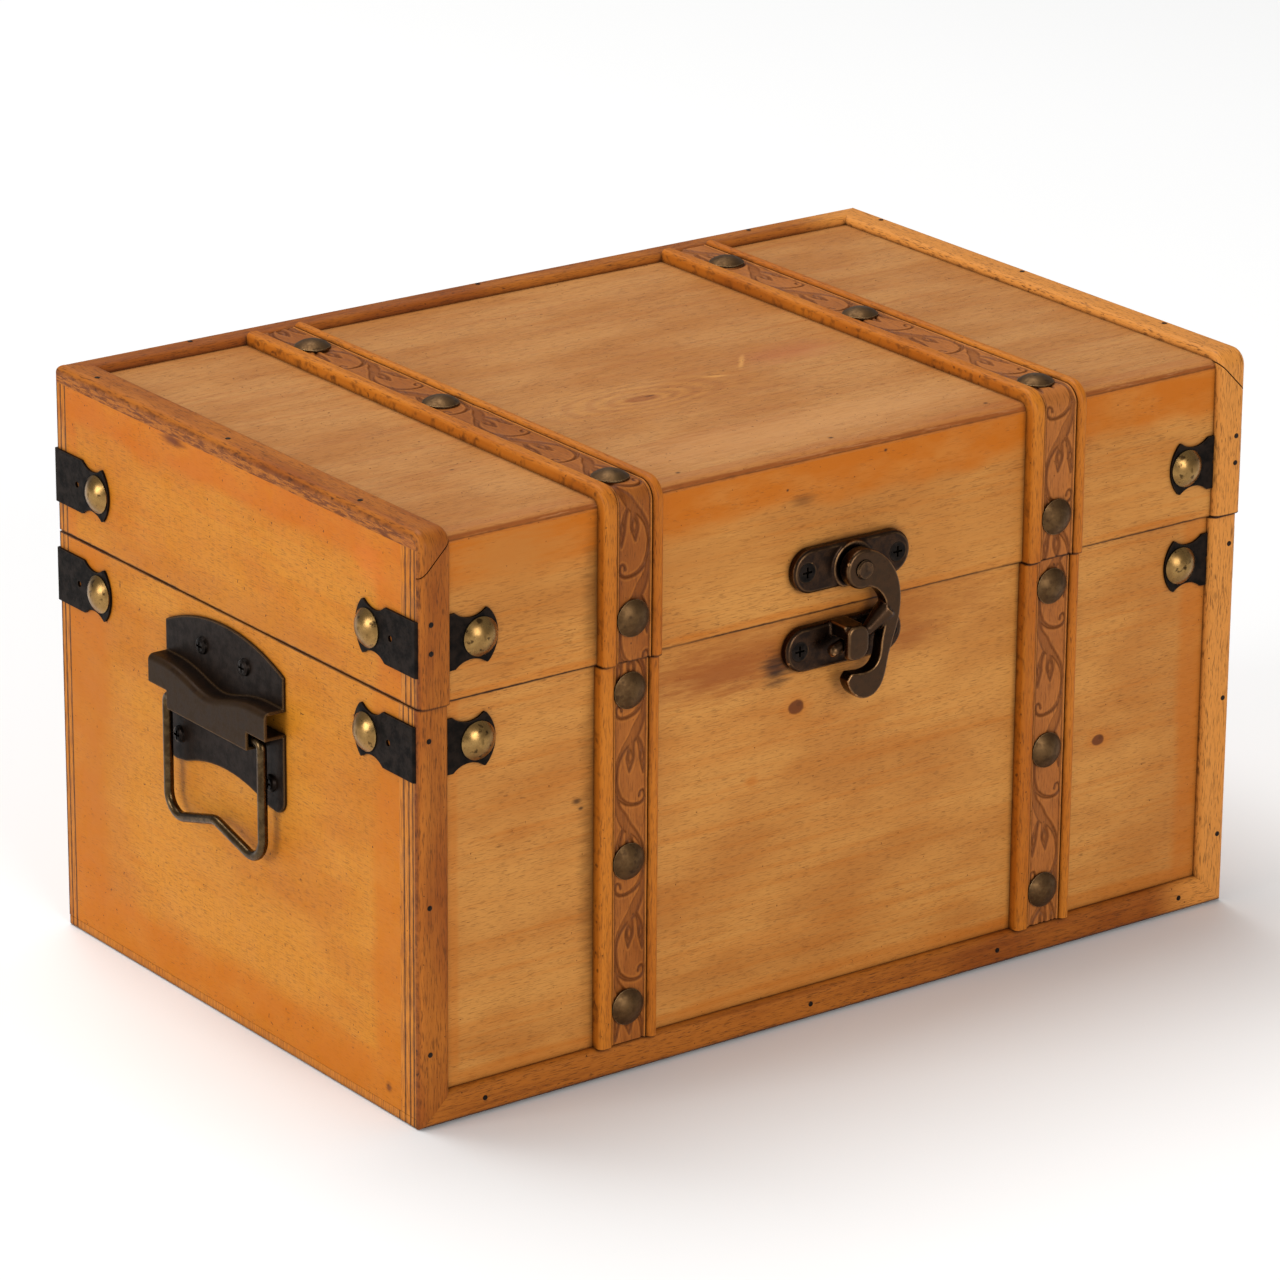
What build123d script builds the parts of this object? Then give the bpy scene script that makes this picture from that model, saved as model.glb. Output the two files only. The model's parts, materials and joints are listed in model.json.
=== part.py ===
"""Small wooden storage chest: a plywood box with a hinged lid, nailed wooden trims and carved
straps, steel corner brackets, a swinging hook latch and a drop handle on each end.

Frame: the origin is the centre of the underside, X runs along the chest, Y from the front
to the back (the front faces -Y) and Z up. All sizes are in millimetres.
"""

import math
import os

from build123d import *

# ---- the box --------------------------------------------------------------------------------
WIDTH = 300.0
DEPTH = 187.2
HEIGHT = 176.0
PARTING = 126.9
PARTING_GAP = 0.5
LID_OVERHANG = 1.3
FRONT_T = 7.5
BACK_T = 5.0
END_T = 6.0
BOTTOM_T = 3.0
TOP_T = 2.8
LID_EDGE_R = 2.6

# ---- trims and straps -----------------------------------------------------------------------
TRIM_W = 10.4
TRIM_PROUD = 2.6
TRIM_R = 2.3
BACK_TRIM_W = 9.0
BASE_TRIM_H = 10.0
MITRE_GAP = 0.5
CORNER_MITRE_Z = 165.0
STRAP_X = (-78.3, 76.6)
STRAP_W = 20.7
STRAP_BASE = 1.2
BEAD_LEFT_W = 4.8
BEAD_RIGHT_W = 3.4
BEAD_PROUD = 4.0
BEAD_R = 1.6
BAND_W = 12.3
BAND_T = 1.7

# ---- nails, tacks and pins ------------------------------------------------------------------
TACK_R = 5.5
TACK_H = 2.3
NAIL_R = 5.75
NAIL_H = 2.9
SHANK_R = 1.0
TACK_SHANK = 8.5
NAIL_SHANK = 4.6
PIN_R = 0.75
PIN_LENGTH = 7.5
PIN_PROUD = 0.12
PIN_INSET = 3.2
BODY_PIN_Z = (22.9, 67.5, 117.3)
LID_PIN_Z = (143.4, 151.9)
BASE_PIN_X = (-128.0, -11.0, 60.0, 132.0)
LID_PIN_Y = (-63.0, 4.6, 75.4)
BACK_PIN_X = (-105.0, 0.0, 105.0)
HOLE_PLAY = 0.05
BODY_TACK_Z = (21.0, 66.0, 118.0)
LID_TACK_Z = 140.0
LID_TACK_Y = (-86.6, -3.1, 64.4)

# ---- corner brackets ------------------------------------------------------------------------
BRACKET_T = 0.8
BRACKET_H = 16.5
BRACKET_END_LEG = 29.0
BRACKET_FACE_LEG = 27.0
BRACKET_NAIL_INSET = 6.0
BRACKET_HOLE_R = 1.0
BRACKET_HOLE_AT = 11.8
BRACKET_FACE_HOLE_AT = 9.9            # mostly hidden by the upright trim
BODY_BRACKET_Z = 113.3
LID_BRACKET_Z = 144.5

# ---- hook latch -----------------------------------------------------------------------------
LATCH_X = 0.3
LATCH_PLATE_L = 42.5
LATCH_PLATE_H = 13.6
LATCH_PLATE_T = 3.0
LATCH_PLATE_Z = 141.0
KEEPER_X = -1.0
KEEPER_Z = 116.8
LATCH_SCREW_HALF = 16.5
PIVOT_Z = 140.3
HOOK_DISC_R = 6.1
HOOK_T = 4.5
HOOK_GAP = 1.0
RIVET_R = 2.2
RIVET_LENGTH = 5.0
FINGER_R = 2.0
FINGER_OUT = 6.7
FINGER_CROOK = (4.2, 120.4)
FINGER_TIP = (-8.0, 116.4)
ROOT_R = 3.2
ROOT_AT = (10.4, 126.0)
BOSS_R = 7.3
BOSS_T = 0.65
RIM_BEVEL = 0.8
NOSE_GAP = 0.4
NOSE_T = 2.4
NOSE_X = (-6.3, 1.4)
NOSE_Z = (113.6, 124.0)
ARM_RIGHT = 0.2
ARM_LOW_Z = (119.6, 121.8)

# ---- drop handles ---------------------------------------------------------------------------
HANDLE_Y = 2.4
HANDLE_T = 0.9
HANDLE_HALF_W = 31.2
HANDLE_TOP_Z = 116.5
HANDLE_CROWN_Z = 123.5
HANDLE_FOOT_Z = 74.3
HANDLE_ARCH_Z = 79.0
TUNNEL_HALF_W = 31.2
TUNNEL_TOP_Z = 107.0
TUNNEL_DIP_Z = 102.8
TUNNEL_BOTTOM_Z = 98.4
APRON_Z = 92.8
TUNNEL_DEPTH = 7.3
TUNNEL_FLAT = 24.0
APRON_HALF_W = 21.4
FOOT_R = 4.5
ARCH_HALF_W = 21.0
BAIL_WIRE_R = 1.5
BAIL_HALF_W = 25.2
BAIL_TURN_IN = 12.0
BAIL_AXIS_Z = 95.6
BAIL_AXIS_OUT = 4.5
BAIL_FOOT_Z = 57.4
BAIL_PEAK_Z = 64.3
HANDLE_SCREW_PLACES = ((11.2, 114.0), (24.4, 82.6))

# ---- back hinges ----------------------------------------------------------------------------
HINGE_X = (-85.0, 85.0)
HINGE_W = 25.0
HINGE_LEAF_H = 14.0
HINGE_LEAF_T = 1.0
KNUCKLE_R = 2.0
HINGE_PIN_R = 1.0
HINGE_PLAY = 0.05
KNUCKLE_GAP = 0.35
KNUCKLE_W = 8.0

# ---- derived --------------------------------------------------------------------------------
HALF_W = WIDTH / 2
FRONT_Y = -DEPTH / 2
BACK_Y = DEPTH / 2
LID_FRONT_Y = FRONT_Y - LID_OVERHANG
BODY_TOP = PARTING - PARTING_GAP / 2
LID_BOTTOM = PARTING + PARTING_GAP / 2
LID_WALL_TOP = HEIGHT - TOP_T
TRIM_INNER_X = HALF_W - TRIM_W
BACK_TRIM_Y = BACK_Y - BACK_TRIM_W
HINGE_Y = BACK_Y + KNUCKLE_R + KNUCKLE_GAP
BAND_TOP = STRAP_BASE + BAND_T

FRONT = (0, -1, 0)
BACK = (0, 1, 0)
UP = (0, 0, 1)
SIDES = (("left", -1), ("right", 1))


# ---- small helpers --------------------------------------------------------------------------
def slab(x, y, z):
    """A box between two limits on each axis, each given as (low, high)."""
    size = [high - low for low, high in (x, y, z)]
    centre = [(high + low) / 2 for low, high in (x, y, z)]
    return Pos(*centre) * Box(*size)


def spun(points):
    """A solid of revolution about Z from (radius, height) points that start and end on the axis."""
    outline = Polyline(*[(r, 0, z) for r, z in points], close=True)
    return revolve(make_face(outline), Axis.Z)


def facing(point, normal, solid):
    """Put a solid made about +Z at a point, with its +Z turned to the outward normal."""
    return Plane(origin=point, z_dir=normal) * solid


def mirrored_in_x(solid):
    return mirror(solid, Plane.YZ)


def holes(fasteners):
    """The cutters of (solid, cutter) pairs."""
    return [cutter for _, cutter in fasteners]


def group(fasteners):
    """The solids of (solid, cutter) pairs as one group."""
    return Compound(children=[s for solid, _ in fasteners for s in solid.solids()])


def drilled(solid, *fastener_lists):
    """Cut the fasteners' holes that reach into this solid."""
    box = solid.bounding_box()
    for fasteners in fastener_lists:
        for cutter in holes(fasteners):
            if box.overlaps(cutter.bounding_box()):
                solid = solid - cutter
    return solid


def save(name, shape):
    shape.label = name
    export_step(shape, f"parts/{name}.step")


# ---- fasteners ------------------------------------------------------------------------------
def domed_nail(radius, height, length):
    """A domed head with a thin rim, and its shank, which points down from the origin."""
    rim = 0.35
    ball = (radius**2 + (height - rim) ** 2) / (2 * (height - rim))
    half = math.asin(radius / ball) / 2
    mid = (ball * math.sin(half), height - ball + ball * math.cos(half))
    outline = Curve() + [
        Polyline((0, 0, height), (0, 0, -length), (SHANK_R, 0, -length), (SHANK_R, 0, 0)),
        Polyline((SHANK_R, 0, 0), (radius, 0, 0), (radius, 0, rim)),
        ThreePointArc((radius, 0, rim), (mid[0], 0, mid[1]), (0, 0, height)),
    ]
    return revolve(make_face(outline), Axis.Z)


def shank_hole(radius, length):
    hole_r = radius + HOLE_PLAY
    return Pos(0, 0, -(length + HOLE_PLAY) / 2) * Cylinder(hole_r, length + HOLE_PLAY)


def nail(point, normal, radius=NAIL_R, height=NAIL_H, length=NAIL_SHANK):
    solid = facing(point, normal, domed_nail(radius, height, length))
    return solid, facing(point, normal, shank_hole(SHANK_R, length))


def pin(point, normal):
    """A headless panel pin that stands a hair proud of the wood."""
    wire = Pos(0, 0, PIN_PROUD - PIN_LENGTH / 2) * Cylinder(PIN_R, PIN_LENGTH)
    hole_l = PIN_LENGTH + HOLE_PLAY
    hole = Pos(0, 0, PIN_PROUD - hole_l / 2) * Cylinder(PIN_R + HOLE_PLAY, hole_l)
    return facing(point, normal, wire), facing(point, normal, hole)


def cross_cut(half_length, depth):
    """The cross recess in a screw head whose top is at the origin."""
    bar = Pos(0, 0, -depth / 2) * Box(2 * half_length, 0.7, depth)
    return bar + Rot(0, 0, 90) * bar


def flat_screw(point, normal, head_r=2.9, shank_r=1.3, length=9.0):
    """A countersunk screw, flush with the surface at the point."""
    cone = head_r - shank_r
    shape = [(0, 0), (head_r, 0), (shank_r, -cone), (shank_r, -length), (0, -length)]
    play = HOLE_PLAY
    hole = [(0, play), (head_r + 2 * play, play), (shank_r + play, -cone)]
    hole += [(shank_r + play, -length - play), (0, -length - play)]
    solid = spun(shape) - cross_cut(1.7, 0.9)
    return facing(point, normal, solid), facing(point, normal, spun(hole))


def pan_screw(point, normal, head_r=2.7, head_h=1.3, shank_r=1.2, length=5.2):
    """A cross-head screw with a low rounded head that stands on the surface at the point."""
    shape = [(0, head_h), (0.6 * head_r, 0.92 * head_h), (0.9 * head_r, 0.6 * head_h)]
    shape += [(head_r, 0), (shank_r, 0), (shank_r, -length), (0, -length)]
    solid = spun(shape) - Pos(0, 0, head_h) * cross_cut(1.5, 0.7)
    return facing(point, normal, solid), facing(point, normal, shank_hole(shank_r, length))


# ---- sections of the wooden mouldings -------------------------------------------------------
def moulding(width, proud, radius):
    """A flat-backed strip with two rounded edges: back on local Y = 0, centred on X."""
    corners = ((-width / 2, 0), (width / 2, 0), (width / 2, proud), (-width / 2, proud))
    return make_face(FilletPolyline(*corners, radius=(0, 0, radius, radius), close=True))


def strap_section():
    """A thin base with a raised bead along each side, which leaves a bed for the band.

    Local X runs to the chest's left, where the bead is wider.
    """
    section = moulding(STRAP_W, STRAP_BASE, 0)
    for side, width in ((1, BEAD_LEFT_W), (-1, BEAD_RIGHT_W)):
        section += Pos(side * (STRAP_W - width) / 2, 0) * moulding(width, BEAD_PROUD, BEAD_R)
    return section


def band_section():
    """The band, in the middle of the bed between the two beads."""
    return Pos((BEAD_RIGHT_W - BEAD_LEFT_W) / 2, STRAP_BASE) * moulding(BAND_W, BAND_T, 0.35)


def upright(section, x, face_y, z_low, z_high):
    """A moulding that stands against a front face."""
    plane = Plane(origin=(x, face_y, z_low), x_dir=(-1, 0, 0), z_dir=UP)
    return extrude(plane * section, z_high - z_low)


def over_lid(section, x, y_end):
    """A moulding that climbs the lid front, rounds its top edge and runs back along the top."""
    path = FilletPolyline(
        (x, LID_FRONT_Y, LID_BOTTOM),
        (x, LID_FRONT_Y, HEIGHT),
        (x, y_end, HEIGHT),
        radius=LID_EDGE_R,
    )
    plane = Plane(origin=(x, LID_FRONT_Y, LID_BOTTOM), x_dir=(-1, 0, 0), z_dir=UP)
    return sweep(plane * section, path=path)


# ---- fastener places ------------------------------------------------------------------------
def body_tacks():
    y = FRONT_Y - BAND_TOP
    places = [(x, y, z) for x in STRAP_X for z in BODY_TACK_Z]
    return [nail(p, FRONT, TACK_R, TACK_H, TACK_SHANK) for p in places]


def lid_tacks():
    fronts = [(x, LID_FRONT_Y - BAND_TOP, LID_TACK_Z) for x in STRAP_X]
    tops = [(x, y, HEIGHT + BAND_TOP) for x in STRAP_X for y in LID_TACK_Y]
    nails = [nail(p, FRONT, TACK_R, TACK_H, TACK_SHANK) for p in fronts]
    return nails + [nail(p, UP, TACK_R, TACK_H, BAND_TOP + TOP_T - 0.3) for p in tops]


def body_pins():
    front = FRONT_Y - TRIM_PROUD
    x = HALF_W - PIN_INSET
    posts = [(side * x, front, z) for side in (-1, 1) for z in BODY_PIN_Z]
    base = [(x, front, BASE_TRIM_H / 2) for x in BASE_PIN_X]
    return [pin(p, FRONT) for p in posts + base]


def lid_pins():
    x = HALF_W - PIN_INSET
    front = LID_FRONT_Y - TRIM_PROUD
    top = HEIGHT + TRIM_PROUD
    posts = [(side * x, front, z) for side in (-1, 1) for z in LID_PIN_Z]
    ends = [(side * x, y, top) for side in (-1, 1) for y in LID_PIN_Y]
    backs = [(x, BACK_Y - PIN_INSET, top) for x in BACK_PIN_X]
    return [pin(p, FRONT) for p in posts] + [pin(p, UP) for p in ends + backs]


def bracket_nails(z, front_y):
    """The two domed nails of each of the four brackets at one height."""
    nails = []
    on_end = BRACKET_END_LEG - BRACKET_NAIL_INSET
    on_face = HALF_W - BRACKET_FACE_LEG + BRACKET_NAIL_INSET
    for _, side in SIDES:
        out = side * (HALF_W + BRACKET_T)
        for face_y, inward, normal in ((front_y, 1, FRONT), (BACK_Y, -1, BACK)):
            nails.append(nail((out, face_y + inward * on_end, z), (side, 0, 0)))
            nails.append(nail((side * on_face, face_y - inward * BRACKET_T, z), normal))
    return nails


def latch_screws(x_mid, z, face_y):
    y = face_y - LATCH_PLATE_T
    return [flat_screw((x_mid + dx, y, z), FRONT) for dx in (-LATCH_SCREW_HALF, LATCH_SCREW_HALF)]


def handle_screws(side):
    out = side * (HALF_W + HANDLE_T)
    places = [(HANDLE_Y + s * dy, z) for dy, z in HANDLE_SCREW_PLACES for s in (-1, 1)]
    return [pan_screw((out, y, z), (side, 0, 0)) for y, z in places]


def hinge_screws(direction):
    """Two screws in each leaf, below (-1) or above (+1) the hinge line."""
    z = PARTING + direction * (HINGE_LEAF_H - 4.5)
    y = BACK_Y + HINGE_LEAF_T
    places = [(x + dx, y, z) for x in HINGE_X for dx in (-8.0, 8.0)]
    return [pan_screw(p, BACK, 1.9, 0.8, 0.9, HINGE_LEAF_T + BACK_T - 0.6) for p in places]


# ---- panels ---------------------------------------------------------------------------------
def body_panels():
    across = (-HALF_W, HALF_W)
    inner_y = (FRONT_Y + FRONT_T, BACK_Y - BACK_T)
    wall_z = (BOTTOM_T, BODY_TOP)
    return {
        "body_front_panel": slab(across, (FRONT_Y, inner_y[0]), wall_z),
        "body_back_panel": slab(across, (inner_y[1], BACK_Y), wall_z),
        "body_end_panel_left": slab((-HALF_W, END_T - HALF_W), inner_y, wall_z),
        "body_end_panel_right": slab((HALF_W - END_T, HALF_W), inner_y, wall_z),
        "bottom_panel": slab(across, (FRONT_Y, BACK_Y), (0, BOTTOM_T)),
    }


def lid_panels():
    across = (-HALF_W, HALF_W)
    inner_y = (LID_FRONT_Y + FRONT_T, BACK_Y - BACK_T)
    wall_z = (LID_BOTTOM, LID_WALL_TOP)
    top = slab(across, (LID_FRONT_Y, BACK_Y), (LID_WALL_TOP, HEIGHT))
    front_edge = top.edges().filter_by(Axis.X).group_by(Axis.Z)[-1].sort_by(Axis.Y)[0]
    return {
        "lid_top_panel": fillet(front_edge, LID_EDGE_R),
        "lid_front_panel": slab(across, (LID_FRONT_Y, inner_y[0]), wall_z),
        "lid_back_panel": slab(across, (inner_y[1], BACK_Y), wall_z),
        "lid_end_panel_left": slab((-HALF_W, END_T - HALF_W), inner_y, wall_z),
        "lid_end_panel_right": slab((HALF_W - END_T, HALF_W), inner_y, wall_z),
    }


# ---- mitred trims ---------------------------------------------------------------------------
def above_base_mitre():
    """Everything outside the left base mitre, on the corner post's side."""
    far = 200.0
    inner = -TRIM_INNER_X
    corners = ((-HALF_W - far, 0), (-HALF_W, 0), (inner, BASE_TRIM_H), (inner, far))
    outline = Polyline(*corners, (-HALF_W - far, far), close=True)
    return extrude(Plane.XZ * make_face(outline), far, both=True)


def body_corner_trim():
    """The left post of the body: mitred at its foot to meet the base trim."""
    section = moulding(TRIM_W, TRIM_PROUD, TRIM_R)
    x = TRIM_W / 2 - HALF_W
    return upright(section, x, FRONT_Y, 0, BODY_TOP) & above_base_mitre()


def base_trim():
    """The rail along the foot of the front, mitred into both corner posts."""
    section = moulding(BASE_TRIM_H, TRIM_PROUD, TRIM_R)
    plane = Plane(origin=(-HALF_W, FRONT_Y, BASE_TRIM_H / 2), x_dir=UP, z_dir=(1, 0, 0))
    rail = extrude(plane * section, WIDTH)
    left = above_base_mitre()
    return rail - left - mirrored_in_x(left)


def lid_corner_cut(lift=0.0):
    """The space below the sloping joint between the left lid post and the left top trim."""
    far = 60.0
    outer = CORNER_MITRE_Z + lift
    left = -HALF_W - far
    right = far - HALF_W
    corners = ((left, 0), (right, 0), (right, outer + far), (left, outer - far))
    return extrude(Plane.XZ * make_face(Polyline(*corners, close=True)), 2 * DEPTH, both=True)


def back_mitre():
    """Everything left of the mitre between the left top trim and the back trim."""
    far = 80.0
    inner_x = -TRIM_INNER_X
    corners = ((-HALF_W, BACK_Y), (inner_x, BACK_TRIM_Y), (inner_x, -far), (-HALF_W - far, -far))
    outline = Polyline(*corners, (-HALF_W - far, BACK_Y), close=True)
    return Pos(0, 0, HEIGHT - 5) * extrude(make_face(outline), 20)


def left_lid_trims():
    """The left lid post and the top trim that bends down to meet it."""
    section = moulding(TRIM_W, TRIM_PROUD, TRIM_R)
    whole = over_lid(section, TRIM_W / 2 - HALF_W, BACK_Y)
    post = whole & lid_corner_cut()
    run = whole - lid_corner_cut(MITRE_GAP)
    tail = slab((-HALF_W - 1, -TRIM_INNER_X + 1), (BACK_TRIM_Y, BACK_Y + 1), (HEIGHT - 1, HEIGHT + 9))
    return post, run - (tail - back_mitre())


def lid_back_trim():
    section = moulding(BACK_TRIM_W, TRIM_PROUD, TRIM_R)
    origin = (-HALF_W, BACK_Y - BACK_TRIM_W / 2, HEIGHT)
    plane = Plane(origin=origin, x_dir=(0, 1, 0), z_dir=(1, 0, 0))
    rail = extrude(plane * section, WIDTH)
    left = back_mitre()
    return rail - left - mirrored_in_x(left)


# ---- corner brackets ------------------------------------------------------------------------
def bracket_outline(length):
    """One flat leg from the corner at X = 0: a plain root, a waist and a flared, rounded end."""
    half = BRACKET_H / 2
    tip = length - 3.6
    root = length - 14.4
    waist = (length - 10.4, half - 2.0)
    top = [
        Line((0, half), (root, half)),
        ThreePointArc((root, half), waist, (tip, half)),
    ]
    end = ThreePointArc((tip, half), (length, 0), (tip, -half))
    below = [
        ThreePointArc((tip, -half), (waist[0], -waist[1]), (root, -half)),
        Line((root, -half), (0, -half)),
    ]
    return make_face(Curve() + top + [end] + below + [Line((0, -half), (0, half))])


def bracket_leg(length, hole_at):
    blank = extrude(bracket_outline(length), BRACKET_T)
    tips = blank.edges().filter_by(Axis.Z).group_by(Axis.X)[-1]
    return fillet(tips, 0.7) - Pos(hole_at, 0) * Cylinder(BRACKET_HOLE_R, 3)


def corner_bracket():
    """A bracket for the front left corner, with the corner of the box at the origin."""
    end_plane = Plane(origin=(0, 0, 0), x_dir=(0, 1, 0), z_dir=(-1, 0, 0))
    face_plane = Plane(origin=(0, -BRACKET_T, 0), x_dir=(1, 0, 0), z_dir=(0, 1, 0))
    half = BRACKET_H / 2
    knee = slab((-BRACKET_T, 0), (-BRACKET_T, 0), (-half, half))
    outer = knee.edges().filter_by(Axis.Z).sort_by(lambda edge: edge.center().X + edge.center().Y)
    knee = fillet(outer[0], 0.9 * BRACKET_T)
    end_leg = bracket_leg(BRACKET_END_LEG, BRACKET_HOLE_AT)
    face_leg = bracket_leg(BRACKET_FACE_LEG, BRACKET_FACE_HOLE_AT)
    return end_plane * end_leg + face_plane * face_leg + knee


def brackets(z, front_y):
    """The four brackets at one height, by corner name."""
    front_left = corner_bracket()
    back_left = mirror(front_left, Plane.XZ)
    placed = {
        "front_left": Pos(-HALF_W, front_y, z) * front_left,
        "back_left": Pos(-HALF_W, BACK_Y, z) * back_left,
    }
    for corner in ("front", "back"):
        placed[corner + "_right"] = mirrored_in_x(placed[corner + "_left"])
    return placed


# ---- hook latch -----------------------------------------------------------------------------
def on_front(face_y):
    """A plane on a front face whose local X, Y, Z are the chest's X, Z and outwards."""
    return Plane(origin=(0, face_y, 0), x_dir=(1, 0, 0), z_dir=FRONT)


def latch_blank(x, z):
    """A round-ended plate with a bevelled rim, lying on the local XY plane."""
    blank = extrude(Pos(x, z) * SlotOverall(LATCH_PLATE_L, LATCH_PLATE_H), LATCH_PLATE_T)
    return chamfer(blank.faces().sort_by(Axis.Z)[-1].edges(), RIM_BEVEL)


def latch_plate():
    """The upper plate, with a low round boss behind the hook's disc."""
    boss = Pos(LATCH_X, PIVOT_Z, (LATCH_PLATE_T + BOSS_T) / 2) * Cylinder(BOSS_R, LATCH_PLATE_T + BOSS_T)
    within = extrude(Pos(LATCH_X, LATCH_PLATE_Z) * SlotOverall(LATCH_PLATE_L, LATCH_PLATE_H), 9)
    return on_front(LID_FRONT_Y) * (latch_blank(LATCH_X, LATCH_PLATE_Z) + (boss & within))


def keeper():
    """The lower plate with its catch: an arm over the finger's path and a nose in front of it."""
    left, right = NOSE_X
    low, top = NOSE_Z
    sloping = ((left, ARM_LOW_Z[0]), (ARM_RIGHT, ARM_LOW_Z[1]), (ARM_RIGHT, top), (left, top))
    nose_back = FINGER_OUT + FINGER_R + NOSE_GAP
    arm = Pos(0, 0, LATCH_PLATE_T / 2) * extrude(make_face(Polyline(*sloping, close=True)), nose_back - 1)
    corners = ((left, low), (right, low), (right, top), (left, top))
    nose_outline = FilletPolyline(*corners, radius=(1.8, 3.8, 3.6, 2.6), close=True)
    nose = Pos(0, 0, nose_back) * extrude(make_face(nose_outline), NOSE_T)
    nose = fillet(nose.faces().sort_by(Axis.Z)[-1].edges(), 0.9)
    return on_front(FRONT_Y) * (latch_blank(KEEPER_X, KEEPER_Z) + arm + nose)


def hook_outline():
    """The curved arm of the hook, from the pivot disc down to the thumb piece and its toe."""
    outer = Spline(
        (2.6, 145.9), (9.3, 141.6), (12.8, 136.0), (14.1, 130.0), (13.6, 123.5), (11.8, 117.5),
        (10.0, 112.0), (8.7, 106.3), (5.8, 101.7), (1.0, 100.5), (-3.2, 103.0), (-5.1, 107.0),
    )
    inner = Spline(
        (-3.6, 109.1), (0.6, 108.6), (4.6, 109.4), (6.7, 112.4), (7.3, 117.0), (8.6, 122.5),
        (8.9, 127.5), (6.9, 131.6), (2.0, 134.6),
    )
    return make_face(Curve() + [outer, Line(outer @ 1, inner @ 0), inner, Line(inner @ 1, outer @ 0)])


def latch_hook():
    """The cast hook: pivot disc, curved arm with a thumb piece, and finger behind the nose."""
    back = LID_OVERHANG + LATCH_PLATE_T + HOOK_GAP
    middle = back + HOOK_T / 2
    disc = chamfer(Cylinder(HOOK_DISC_R, HOOK_T).edges(), 0.7)
    arm = Pos(0, 0, back) * extrude(hook_outline(), HOOK_T)
    bore = Pos(LATCH_X, PIVOT_Z, middle) * Cylinder(RIVET_R + HINGE_PLAY, 2 * HOOK_T)
    root = Vector(*ROOT_AT, middle)
    crook = Vector(*FINGER_CROOK, FINGER_OUT)
    tip = Vector(*FINGER_TIP, FINGER_OUT)
    finger = rod(root, crook, ROOT_R, FINGER_R) + rod(crook, tip, FINGER_R, FINGER_R)
    finger += Pos(*crook) * Sphere(FINGER_R) + Pos(*tip) * Sphere(FINGER_R)
    hook = Pos(LATCH_X, PIVOT_Z, middle) * disc + arm + finger - bore
    return on_front(FRONT_Y) * hook


def rod(start, end, start_r, end_r):
    """A round bar between two points, with a radius at each end."""
    plane = Plane(origin=start, z_dir=end - start)
    far = Plane(origin=end, x_dir=plane.x_dir, z_dir=plane.z_dir)
    return loft([plane * Circle(start_r), far * Circle(end_r)])


def latch_rivet():
    """The pivot: a shaft through the plate, its boss and the hook, with a low head."""
    top = LATCH_PLATE_T + HOOK_GAP + HOOK_T
    gap = 0.3
    shape = [(0, -RIVET_LENGTH), (RIVET_R, -RIVET_LENGTH), (RIVET_R, top + gap), (2.9, top + gap)]
    shape += [(2.5, top + gap + 0.6), (0, top + gap + 0.7)]
    solid = Pos(LATCH_X, PIVOT_Z) * spun(shape)
    hole = Pos(LATCH_X, PIVOT_Z) * Cylinder(RIVET_R + HOLE_PLAY, 2 * (RIVET_LENGTH + HOLE_PLAY))
    return on_front(LID_FRONT_Y) * solid, on_front(LID_FRONT_Y) * hole


# ---- drop handles ---------------------------------------------------------------------------
def on_left_end():
    """A plane on the left end at the handle's middle: local Y is up and Z is outwards."""
    return Plane(origin=(-HALF_W, HANDLE_Y, 0), x_dir=(0, -1, 0), z_dir=(-1, 0, 0))


def handle_outline():
    """The plate: an arched crown, straight sides and two round feet with an arch between."""
    w = HANDLE_HALF_W
    foot = w - FOOT_R
    arch = ARCH_HALF_W
    z = HANDLE_FOOT_Z
    bend = FOOT_R * math.sqrt(0.5)
    right = [
        Line((w, HANDLE_TOP_Z), (w, z + FOOT_R)),
        ThreePointArc((w, z + FOOT_R), (foot + bend, z + FOOT_R - bend), (foot, z)),
        Line((foot, z), (arch, z + 0.8)),
    ]
    left = [mirror(edge, Plane.YZ) for edge in right]
    crown = ThreePointArc((-w, HANDLE_TOP_Z), (0, HANDLE_CROWN_Z), (w, HANDLE_TOP_Z))
    under = ThreePointArc((-arch, z + 0.8), (0, HANDLE_ARCH_Z), (arch, z + 0.8))
    return make_face(Curve() + right + left + [crown, under])


def tunnel_outline(half_w, inset):
    """The raised tunnel seen from outside, dipping in the middle over a deeper apron."""
    flat = TUNNEL_FLAT
    apron_w = APRON_HALF_W
    top = TUNNEL_TOP_Z - inset
    low = TUNNEL_BOTTOM_Z + inset
    apron = APRON_Z + inset
    dip = (0, TUNNEL_DIP_Z - inset)
    saddle = Spline((-flat, top), dip, (flat, top), tangents=((1, 0), (1, 0)))
    corners = ((flat, top), (half_w, top), (half_w, low), (apron_w, low), (apron_w, apron))
    right = Polyline(*corners)
    left = Polyline(*[(-u, z) for u, z in reversed(corners)])
    return make_face(Curve() + [saddle, right, Line((apron_w, apron), (-apron_w, apron)), left])


def handle_plate():
    """The left handle's stamped plate, with the open-ended tunnel that holds the bail's ends."""
    shell = extrude(tunnel_outline(TUNNEL_HALF_W, 0), TUNNEL_DEPTH)
    rim = shell.faces().sort_by(Axis.Z)[-1].edges().filter_by(Axis.Y, reverse=True)
    shell = fillet(rim.filter_by_position(Axis.Y, TUNNEL_BOTTOM_Z + 1, TUNNEL_TOP_Z + 1), 1.9)
    hollow = extrude(tunnel_outline(TUNNEL_HALF_W + 9, HANDLE_T), TUNNEL_DEPTH - HANDLE_T)
    return on_left_end() * (extrude(handle_outline(), HANDLE_T) + shell - hollow)


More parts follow.
